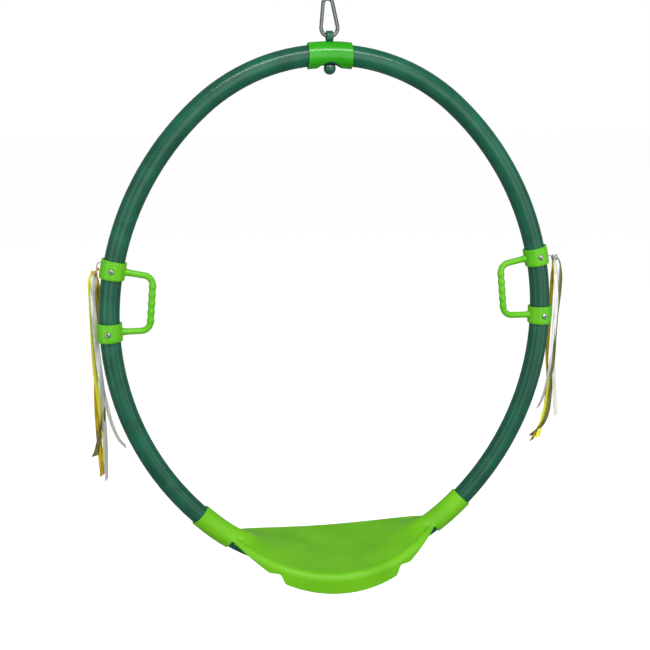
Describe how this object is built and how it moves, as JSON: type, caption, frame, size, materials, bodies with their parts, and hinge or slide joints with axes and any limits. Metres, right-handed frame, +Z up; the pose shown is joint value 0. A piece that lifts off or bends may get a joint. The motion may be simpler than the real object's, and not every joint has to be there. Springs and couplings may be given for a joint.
{
  "type": "oval hoop swing",
  "caption": "Oval tube hoop swing with a moulded seat, side handles and ribbon tassels, hung from a snap hook through an eye bolt.",
  "frame": {"origin": "inside of the snap hook's top bend, the point the swing hangs from", "axes": "+Z up, +Y to the back, +X to the right of a person facing the front"},
  "size_m": [0.898, 0.237, 1.1031],
  "materials": {
    "zinc_steel": "satin zinc plate",
    "green_bolt": "gloss dark green",
    "green_tube": "gloss dark green powder coat",
    "dark_plastic": "gloss dark green",
    "lime_plastic": "semi-gloss lime green",
    "seat_plastic": "fine-grained lime green",
    "ring_wire": "bright",
    "tie_cord": "knotted cord",
    "foil_gold": "metallic foil",
    "foil_silver": "metallic foil",
    "foil_olive": "metallic foil",
    "foil_lime": "translucent foil",
    "foil_pearl": "pearl foil"
  },
  "bodies": {
    "hook": {"snap_hook_body": "zinc_steel", "gate_pin": "zinc_steel"},
    "gate": {"snap_hook_gate": "zinc_steel", "gate_plunger": "zinc_steel", "gate_spring": "zinc_steel"},
    "hoop": {"eye_bolt": "green_bolt", "flat_washer": "zinc_steel", "hex_nut": "zinc_steel", "nut_cap": "dark_plastic", "top_sleeve": "lime_plastic", "left_hoop_tube": "green_tube", "right_hoop_tube": "green_tube", "top_spigot": "zinc_steel", "bottom_spigot": "zinc_steel", "seat": "seat_plastic", "seat_screws": "zinc_steel", "left_handle": "lime_plastic", "left_handle_screws": "zinc_steel", "right_handle": "lime_plastic", "right_handle_screws": "zinc_steel"},
    "left_ring": {"left_ring": "ring_wire"},
    "left_tassel": {"left_tie": "tie_cord", "left_ribbon_gold": "foil_gold", "left_ribbon_silver": "foil_silver", "left_ribbon_olive": "foil_olive", "left_ribbon_lime": "foil_lime", "left_ribbon_pearl": "foil_pearl"},
    "right_ring": {"right_ring": "ring_wire"},
    "right_tassel": {"right_tie": "tie_cord", "right_ribbon_gold": "foil_gold", "right_ribbon_silver": "foil_silver", "right_ribbon_olive": "foil_olive", "right_ribbon_lime": "foil_lime", "right_ribbon_pearl": "foil_pearl"}
  },
  "joints": [
    {"name": "gate_hinge", "type": "hinge", "parent": "hook", "child": "gate", "pos_m": [-0.01096, 0, -0.00418], "axis": [0, -1, 0], "range_deg": [0, 26], "stiffness_Nm_per_rad": 0.02, "springref_deg": -28.65},
    {"name": "hoop_swing", "type": "hinge", "parent": "hook", "child": "hoop", "pos_m": [0, 0, -0.0615], "axis": [1, 0, 0], "range_deg": [-60, 60]},
    {"name": "left_ring_turn", "type": "hinge", "parent": "hoop", "child": "left_ring", "pos_m": [-0.41958, 0.02335, -0.46863], "axis": [0, 0, -1], "range_deg": [0, 90]},
    {"name": "left_tassel_swing", "type": "hinge", "parent": "left_ring", "child": "left_tassel", "pos_m": [-0.43252, 0.01864, -0.47337], "axis": [0.5785, 0.2106, -0.788], "range_deg": [0, 60]},
    {"name": "right_ring_turn", "type": "hinge", "parent": "hoop", "child": "right_ring", "pos_m": [0.41958, 0.02335, -0.46863], "axis": [0, 0, 1], "range_deg": [0, 90]},
    {"name": "right_tassel_swing", "type": "hinge", "parent": "right_ring", "child": "right_tassel", "pos_m": [0.43252, 0.01864, -0.47337], "axis": [0.5785, -0.2106, 0.788], "range_deg": [0, 60]}
  ]
}
